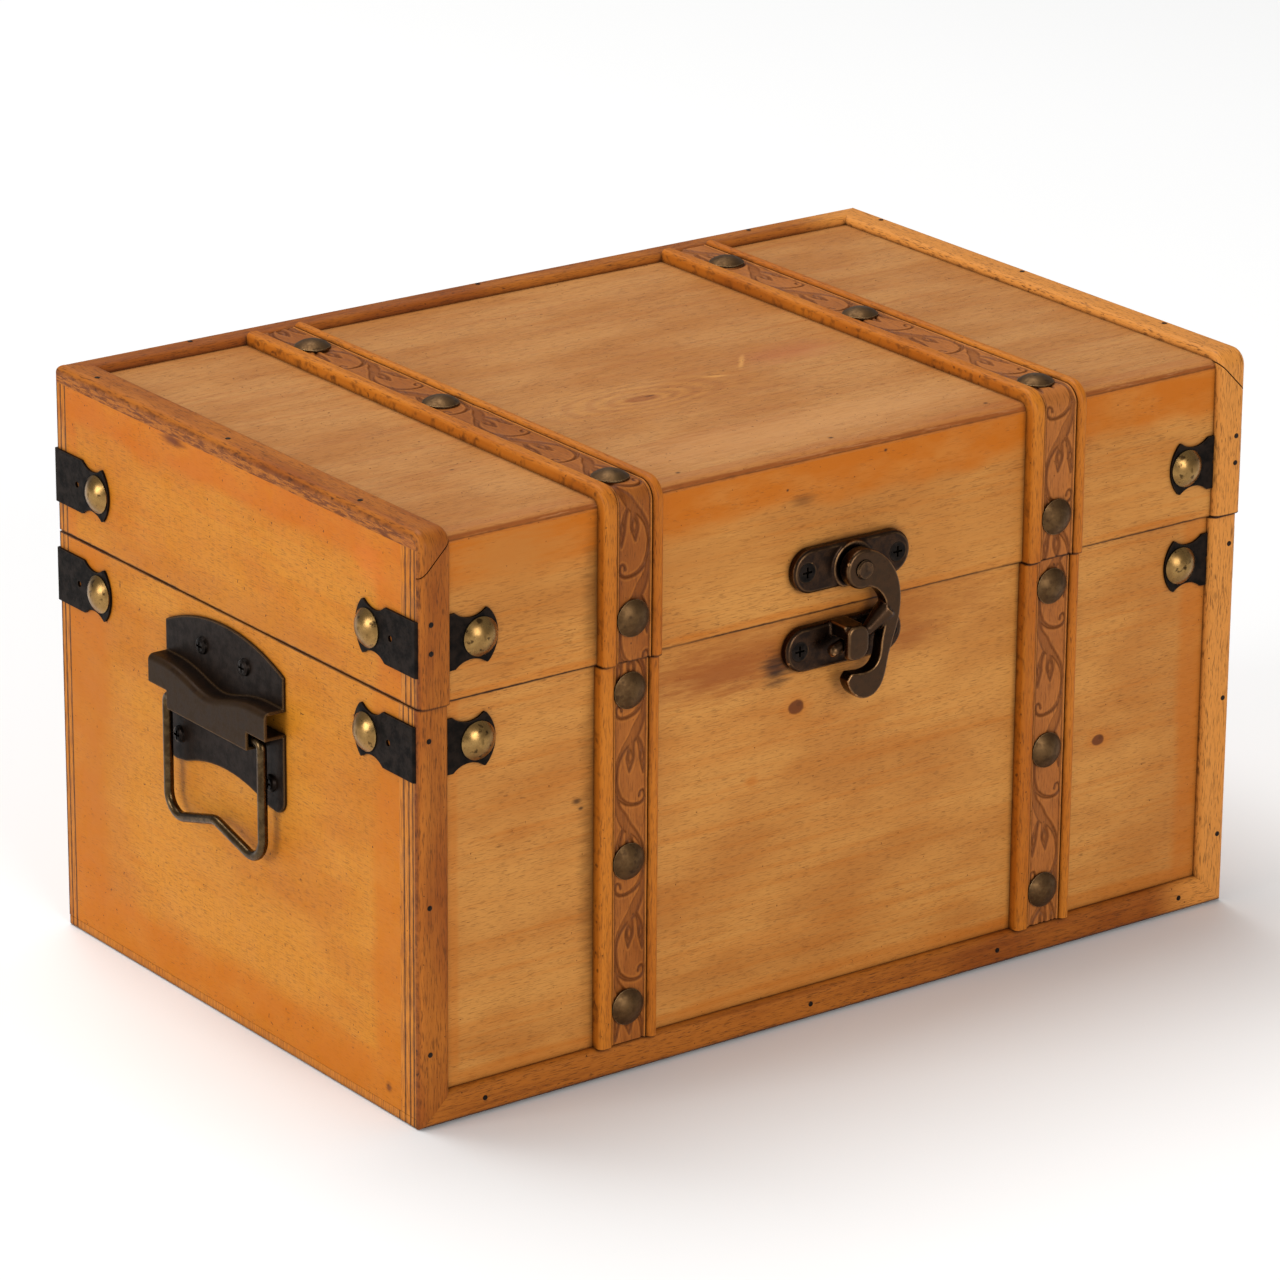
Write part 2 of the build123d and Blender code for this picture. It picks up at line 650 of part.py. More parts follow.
def handle_bail():
    """The left handle's wire bail, hanging down, with its ends turned into the tunnel."""
    w = BAIL_HALF_W
    turned = w - BAIL_TURN_IN
    route = [(-turned, BAIL_AXIS_Z), (-w, BAIL_AXIS_Z), (-w, BAIL_FOOT_Z), (0, BAIL_PEAK_Z)]
    route += [(w, BAIL_FOOT_Z), (w, BAIL_AXIS_Z), (turned, BAIL_AXIS_Z)]
    points = [(u, z, BAIL_AXIS_OUT) for u, z in route]
    path = FilletPolyline(*points, radius=(2.0, 6.5, 6.0, 6.5, 2.0))
    ring = Plane(origin=points[0], z_dir=(-1, 0, 0)) * Circle(BAIL_WIRE_R)
    return on_left_end() * sweep(ring, path=path)


# ---- back hinges ----------------------------------------------------------------------------
def knuckle(x_low, x_high, radius):
    at = ((x_low + x_high) / 2, HINGE_Y, PARTING)
    return Pos(*at) * Rot(0, 90, 0) * Cylinder(radius, x_high - x_low)


def hinge_leaf(direction):
    """One leaf at X = 0: the body's (-1) has two outer knuckles, the lid's (+1) the middle one."""
    half = HINGE_W / 2
    mid = KNUCKLE_W / 2
    spans = [(-mid, mid)] if direction > 0 else [(-half, -mid - KNUCKLE_GAP), (mid + KNUCKLE_GAP, half)]
    near = PARTING_GAP / 2
    z_limits = sorted((PARTING + direction * near, PARTING + direction * HINGE_LEAF_H))
    leaf = slab((-half, half), (BACK_Y, BACK_Y + HINGE_LEAF_T), z_limits)
    clear = KNUCKLE_R + KNUCKLE_GAP
    others = [(-half, -mid), (mid, half)] if direction > 0 else [(-mid, mid)]
    for low, high in others:
        wide = (low - KNUCKLE_GAP, high + KNUCKLE_GAP)
        leaf -= slab(wide, (BACK_Y - 1, BACK_Y + 3), (PARTING - clear, PARTING + clear))
    for low, high in spans:
        leaf += knuckle(low, high, KNUCKLE_R)
    return leaf - knuckle(-half - 1, half + 1, HINGE_PIN_R + HINGE_PLAY)


def hinge_pin():
    half = HINGE_W / 2
    shaft = knuckle(-half - 0.3, half + 0.3, HINGE_PIN_R)
    return shaft + knuckle(half, half + 0.9, 1.6) + knuckle(-half - 0.9, -half, 1.6)


# ---- assembly -------------------------------------------------------------------------------
def build_body():
    tacks = body_tacks()
    pins = body_pins()
    nails = bracket_nails(BODY_BRACKET_Z, FRONT_Y)
    keeper_screws = latch_screws(KEEPER_X, KEEPER_Z, FRONT_Y)
    grips = {name: handle_screws(side) for name, side in SIDES}
    leaf_screws = hinge_screws(-1)
    fixings = [tacks, pins, nails, keeper_screws, leaf_screws, *grips.values()]
    steel = brackets(BODY_BRACKET_Z, FRONT_Y)

    parts = {name: drilled(panel, *fixings) for name, panel in body_panels().items()}
    post = drilled(body_corner_trim() - steel["front_left"], pins)
    parts["body_corner_trim_left"] = post
    parts["body_corner_trim_right"] = mirrored_in_x(post)
    parts["base_trim"] = drilled(base_trim(), pins)
    for (name, _), x in zip(SIDES, STRAP_X):
        span = (BASE_TRIM_H, BODY_TOP)
        parts[f"body_strap_{name}"] = drilled(upright(strap_section(), x, FRONT_Y, *span), tacks)
        parts[f"body_band_{name}"] = drilled(upright(band_section(), x, FRONT_Y, *span), tacks)
    for corner, bracket in steel.items():
        parts[f"body_bracket_{corner}"] = drilled(bracket, nails, pins)
    parts["body_strap_tacks"] = group(tacks)
    parts["body_trim_pins"] = group(pins)
    parts["body_bracket_nails"] = group(nails)
    parts["latch_keeper"] = drilled(keeper(), keeper_screws)
    parts["latch_keeper_screws"] = group(keeper_screws)
    plate = drilled(handle_plate(), grips["left"])
    parts["handle_plate_left"] = plate
    parts["handle_plate_right"] = mirrored_in_x(plate)
    for name, screws in grips.items():
        parts[f"handle_screws_{name}"] = group(screws)
    for (name, _), x in zip(SIDES, HINGE_X):
        parts[f"hinge_body_leaf_{name}"] = drilled(Pos(x, 0, 0) * hinge_leaf(-1), leaf_screws)
    parts["hinge_pins"] = Compound(children=[Pos(x, 0, 0) * hinge_pin() for x in HINGE_X])
    parts["hinge_body_screws"] = group(leaf_screws)
    return parts


def build_lid():
    tacks = lid_tacks()
    pins = lid_pins()
    nails = bracket_nails(LID_BRACKET_Z, LID_FRONT_Y)
    plate_screws = latch_screws(LATCH_X, LATCH_PLATE_Z, LID_FRONT_Y)
    leaf_screws = hinge_screws(1)
    rivet = latch_rivet()
    fixings = [tacks, pins, nails, plate_screws, leaf_screws, [rivet]]
    steel = brackets(LID_BRACKET_Z, LID_FRONT_Y)

    parts = {name: drilled(panel, *fixings) for name, panel in lid_panels().items()}
    post, run = left_lid_trims()
    post = drilled(post - steel["front_left"], pins)
    run = drilled(run, pins)
    parts["lid_corner_trim_left"] = post
    parts["lid_corner_trim_right"] = mirrored_in_x(post)
    parts["lid_top_trim_left"] = run
    parts["lid_top_trim_right"] = mirrored_in_x(run)
    parts["lid_top_trim_back"] = drilled(lid_back_trim(), pins)
    for (name, _), x in zip(SIDES, STRAP_X):
        parts[f"lid_strap_{name}"] = drilled(over_lid(strap_section(), x, BACK_TRIM_Y), tacks)
        parts[f"lid_band_{name}"] = drilled(over_lid(band_section(), x, BACK_TRIM_Y), tacks)
    for corner, bracket in steel.items():
        parts[f"lid_bracket_{corner}"] = drilled(bracket, nails, pins)
    parts["lid_strap_tacks"] = group(tacks)
    parts["lid_trim_pins"] = group(pins)
    parts["lid_bracket_nails"] = group(nails)
    parts["latch_plate"] = drilled(latch_plate(), plate_screws, [rivet])
    parts["latch_plate_screws"] = group(plate_screws)
    parts["latch_rivet"] = rivet[0]
    for (name, _), x in zip(SIDES, HINGE_X):
        parts[f"hinge_lid_leaf_{name}"] = drilled(Pos(x, 0, 0) * hinge_leaf(1), leaf_screws)
    parts["hinge_lid_screws"] = group(leaf_screws)
    return parts


def build_moving():
    bail = handle_bail()
    return {
        "latch_hook": latch_hook(),
        "handle_bail_left": bail,
        "handle_bail_right": mirrored_in_x(bail),
    }


os.makedirs("parts", exist_ok=True)
for label, shape in {**build_body(), **build_lid(), **build_moving()}.items():
    save(label, shape)
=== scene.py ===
"""Small wooden storage chest: materials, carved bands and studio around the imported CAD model.

Metres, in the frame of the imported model. Texture sizes and places are in millimetres of that frame.
"""

import json
import math

import bpy
import numpy as np
from mathutils import Matrix, Vector

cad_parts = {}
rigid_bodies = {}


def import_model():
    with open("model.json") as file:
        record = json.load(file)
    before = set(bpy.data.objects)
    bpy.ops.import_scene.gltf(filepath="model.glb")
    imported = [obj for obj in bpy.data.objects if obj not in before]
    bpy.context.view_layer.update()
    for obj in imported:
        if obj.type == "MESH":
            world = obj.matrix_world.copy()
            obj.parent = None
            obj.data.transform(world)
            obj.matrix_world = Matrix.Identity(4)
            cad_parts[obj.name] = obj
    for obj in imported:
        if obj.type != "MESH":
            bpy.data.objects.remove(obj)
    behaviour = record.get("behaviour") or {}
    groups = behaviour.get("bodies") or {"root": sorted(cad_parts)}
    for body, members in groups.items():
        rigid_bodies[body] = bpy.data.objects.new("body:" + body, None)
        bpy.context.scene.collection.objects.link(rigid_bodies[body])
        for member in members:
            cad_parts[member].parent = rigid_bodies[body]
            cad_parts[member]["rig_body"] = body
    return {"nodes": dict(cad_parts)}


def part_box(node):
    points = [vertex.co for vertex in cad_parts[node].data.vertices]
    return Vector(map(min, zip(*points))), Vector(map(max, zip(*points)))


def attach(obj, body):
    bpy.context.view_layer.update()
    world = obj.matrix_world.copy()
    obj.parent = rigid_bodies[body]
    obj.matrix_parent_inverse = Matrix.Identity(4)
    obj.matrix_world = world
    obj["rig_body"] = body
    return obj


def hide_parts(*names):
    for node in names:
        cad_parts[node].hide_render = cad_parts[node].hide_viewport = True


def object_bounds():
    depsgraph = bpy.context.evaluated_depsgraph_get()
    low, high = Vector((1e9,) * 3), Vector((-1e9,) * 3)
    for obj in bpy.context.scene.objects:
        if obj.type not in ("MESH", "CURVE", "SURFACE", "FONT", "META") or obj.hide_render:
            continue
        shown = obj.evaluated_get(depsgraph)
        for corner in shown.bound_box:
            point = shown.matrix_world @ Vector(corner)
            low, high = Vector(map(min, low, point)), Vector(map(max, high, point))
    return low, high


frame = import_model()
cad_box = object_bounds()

MM = 0.001
NODES = frame["nodes"]
X, Y, Z = 0, 1, 2


def srgb(red, green, blue):
    """An 8-bit screen colour as linear light, with alpha."""
    def linear(value):
        value = value / 255
        return value / 12.92 if value <= 0.04045 else ((value + 0.055) / 1.055) ** 2.4
    return (linear(red), linear(green), linear(blue), 1.0)


def box_mm(node):
    low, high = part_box(node)
    return [value / MM for value in low], [value / MM for value in high]


# ---- places and colours ---------------------------------------------------------------------
BODY_FRONT = box_mm("body_front_panel")[0][Y]
LID_FRONT = box_mm("lid_front_panel")[0][Y]
TOP = box_mm("lid_top_panel")[1][Z]
END = box_mm("body_end_panel_right")[1][X]
PARTING = (box_mm("body_front_panel")[1][Z] + box_mm("lid_front_panel")[0][Z]) / 2
BACK_JOINT = box_mm("body_end_panel_right")[1][Y]           # where an end meets the back panel
TOP_JOINT = box_mm("lid_front_panel")[1][Z]                 # where the lid's sides meet its top
FLOOR_JOINT = box_mm("body_end_panel_right")[0][Z]          # where an end meets the bottom panel
POST = box_mm("body_corner_trim_right")[0][X] - 0.6         # just under the corner trims
SKIRT = box_mm("base_trim")[1][Z] - 0.9                     # just under the base trim

PORE = srgb(88, 46, 14)
KNOT = srgb(98, 48, 18)
# Dark brown for grime, for the lines of joints and layers, and for painted shade in corners.
GRIME_AND_SHADE = srgb(52, 24, 8)
STAIN = srgb(180, 96, 14)
PALE = srgb(197, 136, 66)
DARK = srgb(179, 115, 50)
SCUFF = srgb(48, 28, 18)
# A darker band along the straps' sides.
STRAP_SIDE_DARK = srgb(92, 58, 22)
BLACK = srgb(15, 12, 10)


# ---- materials ------------------------------------------------------------------------------
class Finish:
    """One procedural material. Sizes and places are millimetres of the model's frame."""

    def __init__(self, name):
        self.material = bpy.data.materials.new(name)
        self.material.use_nodes = True
        self.tree = self.material.node_tree
        self.tree.nodes.clear()
        self.shader = self.add("BsdfPrincipled")
        output = self.add("OutputMaterial")
        self.tree.links.new(self.shader.outputs[0], output.inputs[0])
        coords = self.add("TexCoord")
        self.place = self.vector("SCALE", coords.outputs["Object"], scale=1 / MM)
        self.xyz = self.split(self.place)
        self.facing = self.split(coords.outputs["Normal"])
        self.seed = 0.0

    def add(self, kind, **settings):
        node = self.tree.nodes.new("ShaderNode" + kind)
        for key, value in settings.items():
            setattr(node, key, value)
        return node

    def put(self, socket, value):
        if isinstance(value, bpy.types.NodeSocket):
            self.tree.links.new(value, socket)
        else:
            socket.default_value = value

    def split(self, vector):
        node = self.add("SeparateXYZ")
        self.put(node.inputs[0], vector)
        return node.outputs

    def vector(self, operation, *values, scale=None):
        node = self.add("VectorMath", operation=operation)
        for index, value in enumerate(values):
            self.put(node.inputs[index], value)
        if scale is not None:
            node.inputs["Scale"].default_value = scale
        return node.outputs["Value"] if operation in ("LENGTH", "DOT_PRODUCT") else node.outputs[0]

    def math(self, operation, *values):
        node = self.add("Math", operation=operation)
        for index, value in enumerate(values):
            self.put(node.inputs[index], value)
        return node.outputs[0]

    def away(self, axis, value=0.0):
        """Distance from a plane across an axis."""
        return self.math("ABSOLUTE", self.math("SUBTRACT", self.xyz[axis], value))

    def texture(self, sizes):
        """A noise node with a seed of its own. sizes: its features' lengths along X, Y and Z."""
        self.seed += 17.3
        scale = tuple(1.0 / size for size in sizes)
        node = self.add("TexNoise")
        self.put(node.inputs["Vector"], self.vector("MULTIPLY_ADD", self.place, scale, (self.seed,) * 3))
        node.inputs["Scale"].default_value = 1.0
        return node

    def noise(self, sizes, detail=3.0, rough=0.55, warp=0.0):
        """Cloudy values about 0.5."""
        node = self.texture(sizes)
        node.inputs["Detail"].default_value = detail
        node.inputs["Roughness"].default_value = rough
        node.inputs["Distortion"].default_value = warp
        return node.outputs[0]

    def wave(self, sizes, height, **settings):
        """Noise that runs to about height on each side of 0."""
        return self.math("MULTIPLY_ADD", self.noise(sizes, **settings), 2 * height, -height)

    def step(self, value, low, high, start=0.0, end=1.0):
        """Runs smoothly from start at low to end at high."""
        if low > high:
            low, high, start, end = high, low, end, start
        node = self.add("MapRange", interpolation_type="SMOOTHSTEP")
        for socket, number in zip(node.inputs, (value, low, high, start, end)):
            self.put(socket, number)
        return node.outputs[0]

    def mix(self, amount, first, second):
        node = self.add("Mix", data_type="RGBA")
        self.put(node.inputs[0], amount)
        self.put(node.inputs[6], first)
        self.put(node.inputs[7], second)
        return node.outputs[2]

    def times(self, first, second):
        return self.math("MULTIPLY", first, second)

    def most(self, values):
        result = values[0]
        for value in values[1:]:
            result = self.math("MAXIMUM", result, value)
        return result

    def blob(self, centre, radii, inner=0.3, ragged=0.25, size=(3.0, 3.0, 3.0), turn=None):
        """1 inside an ellipsoid, 0 outside, with a ragged edge. turn: an axis and degrees about it."""
        away = self.vector("SUBTRACT", self.place, tuple(centre))
        if turn:
            node = self.add("VectorRotate", rotation_type="AXIS_ANGLE")
            self.put(node.inputs["Vector"], away)
            node.inputs["Axis"].default_value = turn[0]
            node.inputs["Angle"].default_value = math.radians(turn[1])
            away = node.outputs[0]
        scale = tuple(1.0 / r for r in radii)
        away = self.vector("LENGTH", self.vector("MULTIPLY", away, scale))
        return self.step(self.math("ADD", away, self.wave(size, ragged, detail=4)), 1.0, inner)

    def edge_band(self, axis, place, width):
        """A brushed band of stain beside an edge: full up to a soft, uneven inner limit."""
        away = self.away(axis, place)
        wave = self.wave((34, 34, 34), 0.35 * width, detail=2)
        return self.step(self.math("ADD", away, wave), 1.1 * width, 0.65 * width)

    def near(self, axis, value, width, ragged, size=6.0):
        """1 at a plane across an axis, falling raggedly to 0 at width from it."""
        away = self.math("ADD", self.away(axis, value), self.wave((size,) * 3, ragged))
        return self.step(away, width, 0.0)

    def occlusion_shade(self, reach):
        """Ambient occlusion: 1 in the corners between pieces, where shade falls, 0 on open faces; used
        to paint shade there.
        """
        node = self.add("AmbientOcclusion", samples=6)
        node.inputs["Distance"].default_value = reach * MM
        return self.step(node.outputs["AO"], 0.95, 0.35)

    def flatness(self, radius):
        """1 on flat faces, less on edges within a radius."""
        bevel = self.add("Bevel", samples=4)
        bevel.inputs["Radius"].default_value = radius * MM
        geometry = self.add("NewGeometry")
        return self.vector("DOT_PRODUCT", bevel.outputs[0], geometry.outputs["Normal"])

    def relief(self, height, depth, strength):
        """Bump of that depth in millimetres."""
        node = self.add("Bump")
        node.inputs["Strength"].default_value = strength
        node.inputs["Distance"].default_value = depth * MM
        self.put(node.inputs["Height"], height)
        self.put(self.shader.inputs["Normal"], node.outputs[0])

    def done(self, colour, rough, **constants):
        self.put(self.shader.inputs["Base Color"], colour)
        self.put(self.shader.inputs["Roughness"], rough)
        for key, value in constants.items():
            self.shader.inputs[key.replace("_", " ")].default_value = value
        return self.material


# ---- wood -----------------------------------------------------------------------------------
def sizes(run, length, width):
    """Noise feature sizes, long on the axes that the grain runs on."""
    return tuple(length if axis in run else width for axis in (X, Y, Z))


def fibres(f, run):
    """The fine fibre of the wood, and the short dark pores among it."""
    fibre = f.noise(sizes(run, 3.4, 0.3), detail=2, rough=0.6)
    ticks = f.step(f.noise(sizes(run, 2.6, 0.24), detail=1), 0.63, 0.74)
    gate = f.step(f.noise(sizes(run, 24, 6), detail=2), 0.4, 0.62)
    return fibre, f.times(ticks, gate)


def add_weave(f, colour, run, strength, pore):
    """Fibres across the main grain, as on worn plywood."""
    other = tuple(axis for axis in (X, Y, Z) if axis not in run)
    weave = f.noise(sizes(other, 2.8, 0.34), detail=2, rough=0.6)
    return f.mix(f.times(f.step(weave, 0.5, 0.8), strength), colour, pore)


def add_borders(f, colour, run, borders, stain):
    band = f.most([f.times(f.edge_band(*border[:3]), border[3]) for border in borders])
    cloud = f.step(f.noise(sizes(run, 20, 9)), 0.3, 0.62, 0.6, 1.0)
    return f.mix(f.times(band, cloud), colour, stain)


def add_knot(f, colour, centre, radii, stain):
    """A knot with a soft halo and a dark core off its centre."""
    core = (centre[X] + radii[X] * 0.3, centre[Y], centre[Z] + radii[Z] * 0.3)
    colour = f.mix(f.times(f.blob(centre, [2.4 * r for r in radii], 0.2), 0.4), colour, stain)
    colour = f.mix(f.times(f.blob(centre, radii, 0.7, 0.15), 0.92), colour, KNOT)
    return f.mix(f.times(f.blob(core, [0.4 * r for r in radii], 0.5), 0.6), colour, PORE)


def add_layers(f, colour, places):
    """The plywood's layers and the dark lines between them, on the chest's ends."""
    face = f.step(f.away(X), END - 0.4, END - 0.1)
    lines = f.times(f.most([f.near(Y, place, 0.65, 0.22, 2.0) for place in places]), face)
    streaks = f.step(f.noise((2, 0.5, 7)), 0.4, 0.65)
    layer = f.mix(streaks, srgb(204, 122, 26), srgb(150, 82, 22))
    colour = f.mix(f.times(face, 0.75), colour, layer)
    return f.mix(f.times(lines, 0.9), colour, GRIME_AND_SHADE)


def add_marks(f, colour, run, ticks, pore):
    """Pores, specks and faint smudges."""
    specks = f.step(f.noise((0.9, 0.9, 0.9), detail=0), 0.83, 0.86)
    smudge = f.times(f.step(f.noise(sizes(run, 2.4, 0.7), detail=4, rough=0.7), 0.56, 0.72),
                     f.step(f.noise((24, 24, 24), detail=2), 0.58, 0.72))
    return f.mix(f.most([ticks, f.times(specks, 0.85), f.times(smudge, 0.45)]), colour, pore)


def add_parting_shade(f, colour):
    """Painted shade in the gap where the lid meets the body, with grime beside it, but not on the rims
    themselves.
    """
    seam = f.times(f.step(f.near(Z, PARTING, 1.0, 0.2, 3.0), 0.1, 0.7),
                   f.step(f.noise((30, 30, 30), detail=2), 0.35, 0.6, 0.55, 1.0))
    seam = f.times(seam, f.step(f.math("ABSOLUTE", f.facing[Z]), 0.95, 0.6))
    return f.mix(seam, colour, srgb(36, 17, 7))


def wood(name, run, tones, borders=(), stains=(), knots=(), ply=(), contrast=1.0, cross=0.0,
         extra=None, crease_shade_strength=0.7):
    """Stained fine-grained wood.

    run: the axes that the grain lies on; tones: pale, dark, stain and pore colours.
    borders: (axis, place, width, strength) of darker stain along edges; stains: blobs of a tone;
    knots: (centre, radii); ply: places across Y of the layers' lines on the chest's ends.
    extra: a function that adds this wood's own figure.
    """
    f = Finish(name)
    pale, dark, stain, pore = tones
    drift = f.noise(sizes(run, 60, 22))
    stripe = f.noise(sizes(run, 90, 2.4), detail=4, rough=0.62, warp=0.25)
    fibre, ticks = fibres(f, run)
    colour = f.mix(f.step(drift, 0.36, 0.66), pale, dark)
    colour = f.mix(f.times(f.step(stripe, 0.45, 0.72), 0.34 * contrast), colour, stain)
    if extra:
        colour = extra(f, colour)
    colour = f.mix(f.times(f.step(fibre, 0.48, 0.75), 0.5 * contrast), colour, pore)
    if cross:
        colour = add_weave(f, colour, run, cross * contrast, pore)
    if borders:
        colour = add_borders(f, colour, run, borders, stain)
    for centre, radii, tone, strength, turn in stains:
        blob = f.blob(centre, radii, 0.1, 0.55, sizes(run, 9, 1.0), turn)
        colour = f.mix(f.times(blob, strength), colour, tone)
    for centre, radii in knots:
        colour = add_knot(f, colour, centre, radii, stain)
    if ply:
        colour = add_layers(f, colour, ply)
    colour = add_marks(f, colour, run, f.times(ticks, 0.6 * contrast), pore)
    colour = add_parting_shade(f, colour)
    # Painted shade in the corners between pieces, from ambient occlusion, with the grime that gathers
    # there.
    colour = f.mix(f.times(f.occlusion_shade(2.2), crease_shade_strength), colour, GRIME_AND_SHADE)
    f.relief(f.math("SUBTRACT", f.times(fibre, 0.6), f.times(ticks, 0.9)), 0.05, 0.8)
    rough = f.step(f.noise((12, 12, 12), detail=4, rough=0.7), 0.3, 0.75, 0.43, 0.6)
    return f.done(colour, rough, Specular_IOR_Level=0.14)


def top_knot(f, colour):
    """The top's knot, with its rings stretched along the grain."""
    centre = (-23.0, -26.0, TOP)
    away = f.vector("SUBTRACT", f.place, centre)
    noise = f.texture((18, 9, 9)).outputs["Color"]
    bend = f.vector("MULTIPLY_ADD", noise, (9.0, 5.0, 0.0), (-4.5, -2.5, 0.0))
    away = f.vector("ADD", away, bend)
    oval = f.vector("LENGTH", f.vector("MULTIPLY", away, (0.42, 1.0, 0.0)))
    rings = f.math("SINE", f.times(f.math("POWER", oval, 0.8), 3.4))
    fade = f.times(f.step(oval, 22, 5), 0.5)
    colour = f.mix(f.times(f.step(rings, -0.3, 1.0), f.times(fade, 0.5)), colour, srgb(206, 140, 66))
    colour = f.mix(f.times(f.step(rings, 0.1, -1.0), f.times(fade, 0.6)), colour, srgb(158, 94, 46))
    eye = f.blob(centre, (7.0, 3.4, 3), 0.5, 0.15)
    colour = f.mix(f.times(eye, 0.6), colour, srgb(142, 76, 34))
    core = f.blob((-19.5, -25.4, TOP), (2.6, 0.9, 2), 0.3, 0.3)
    return f.mix(f.times(core, 0.7), colour, srgb(92, 52, 28))


def top_edges(f, colour):
    """The stained front edge of the top with its dark worn rim, and its sawn ends."""
    rim_low = TOP - 2.0
    front = f.step(f.xyz[Y], LID_FRONT + 0.7, LID_FRONT + 0.2)
    colour = f.mix(front, colour, srgb(188, 108, 30))
    worn = f.step(f.noise((16, 1.5, 0.9), detail=4, rough=0.7), 0.52, 0.62)
    edge = f.mix(worn, srgb(128, 66, 26), srgb(172, 116, 72))
    lip = f.math("ADD", f.xyz[Z], f.wave((7, 7, 7), 0.3))
    front = f.step(f.xyz[Y], LID_FRONT + 1.0, LID_FRONT + 0.5)
    colour = f.mix(f.times(f.times(front, f.step(lip, rim_low, rim_low + 0.4)), 0.9), colour, edge)
    front = f.step(f.xyz[Y], LID_FRONT + 0.7, LID_FRONT + 0.3)
    seam = f.times(front, f.near(Z, rim_low, 0.45, 0.2, 3.0))
    colour = f.mix(f.times(seam, 0.85), colour, GRIME_AND_SHADE)
    streaks = f.step(f.noise((2, 5, 0.7), detail=4, rough=0.7), 0.42, 0.6)
    sawn = f.mix(streaks, srgb(176, 102, 30), srgb(110, 56, 18))
    return f.mix(f.step(f.away(X), END - 0.6, END - 0.1), colour, sawn)


def top_figure(f, colour):
    return top_edges(f, top_knot(f, colour))


def relief_tint(f, colour):
    """Polished ridges with painted highlights beside the cuts, and dark cuts, from the carving's own
    depth. The right band is paler.
    """
    cut = f.add("Attribute", attribute_name="relief")
    parts = f.add("SeparateColor")
    f.put(parts.inputs[0], cut.outputs["Color"])
    dirty, polish_and_highlight = parts.outputs[0], parts.outputs[1]
    # Pale polish and painted highlight on the ridges and beside the cuts.
    colour = f.mix(f.times(polish_and_highlight, 0.7), colour, srgb(206, 128, 48))
    colour = f.mix(f.times(f.step(f.xyz[X], 30, 60), 0.4), colour, srgb(188, 116, 56))
    return f.mix(f.times(dirty, 0.5), colour, srgb(86, 40, 10))


def worn_trim(f, colour):
    """Paler and yellower trims at the chest's right; darker, rougher outer faces at both ends."""
    right = f.times(f.step(f.xyz[X], POST - 21, POST), 0.85)
    colour = f.mix(right, colour, srgb(214, 140, 62))
    face = f.step(f.away(X), END - 0.5, END - 0.1)
    rough = f.step(f.noise((2, 6, 3), detail=4, rough=0.7), 0.4, 0.65, 0.15, 0.75)
    return f.mix(f.times(face, rough), colour, srgb(96, 46, 12))


def on_face(axis, depth, reach, rows):
    """Stains on a face across an axis, which reach some way through it.

    A row: two places in the face, two radii, the tone, its strength and perhaps degrees of turn.
    """
    stains = []
    for first, second, first_r, second_r, tone, strength, *degrees in rows:
        centre, radii, normal = [first, second], [first_r, second_r], [0, 0]
        for values, value in ((centre, depth), (radii, reach), (normal, 1)):
            values.insert(axis, value)
        stains.append((centre, radii, tone, strength, (normal, *degrees) if degrees else None))
    return stains


def layer_lines(front):
    """Places of the plywood's lines on an end, behind the front face and in the back panel."""
    lines = [front + depth for depth in (0.8, 2.7, 5.2, 8.2)]
    return lines + [BACK_JOINT + depth for depth in (0.4, 2.8, 4.8)]


THROUGH = 4000.0         # a reach that marks both ends alike
BODY_FRONT_MARKS = on_face(Y, BODY_FRONT, 9, (
    (-44, 115, 42, 11, srgb(144, 76, 28), 0.85),         # reddish band under the lid
    (-23.5, 113, 8, 9, SCUFF, 0.95),                     # beside the keeper
    (-1, 116.8, 26, 10, SCUFF, 0.8),                     # round the keeper
    (26, 112, 16, 7, srgb(140, 72, 24), 0.6),
    (0, 121, 100, 11, srgb(156, 88, 30), 0.6),
    (-32, 79.3, 3.5, 3.0, STAIN, 0.5),
    (-89, 68, 6, 80, STRAP_SIDE_DARK, 0.6),                  # along the straps
    (68, 68, 4, 80, srgb(110, 66, 26), 0.4),
    (-94.5, 87, 2.2, 1.4, SCUFF, 0.8),
    (-93, 84.5, 1.2, 0.8, SCUFF, 0.8)))
LID_FRONT_MARKS = on_face(Y, LID_FRONT, 9, (
    (-16, 162, 7, 3, SCUFF, 0.45),
    (-21.6, 166.2, 0.8, 0.7, SCUFF, 0.9),
    (13.9, 171.6, 0.9, 0.7, SCUFF, 0.9),
    (-60, 150, 60, 16, DARK, 0.6),
    (-118, 166, 30, 15, DARK, 0.7),
    (60, 140, 110, 18, DARK, 0.5),
    (-89, 148, 6, 34, STRAP_SIDE_DARK, 0.6),                 # along the strap
    (0.3, 141, 26, 10, SCUFF, 0.75)))                    # round the latch plate
BODY_END_MARKS = on_face(X, 0, THROUGH, (
    (60, 119.1, 0.5, 1.6, SCUFF, 0.8),
    (74, 66, 30, 70, srgb(180, 106, 30), 0.45),
    (-80, 8, 2.2, 2.2, KNOT, 0.8)))
LID_END_MARKS = on_face(X, 0, THROUGH, (
    (29, 172, 9, 2.4, srgb(88, 34, 8), 0.85),
    (0, 130, 120, 10, srgb(176, 104, 30), 0.4),
    (-72, 163, 12, 9, srgb(212, 100, 28), 0.35)))
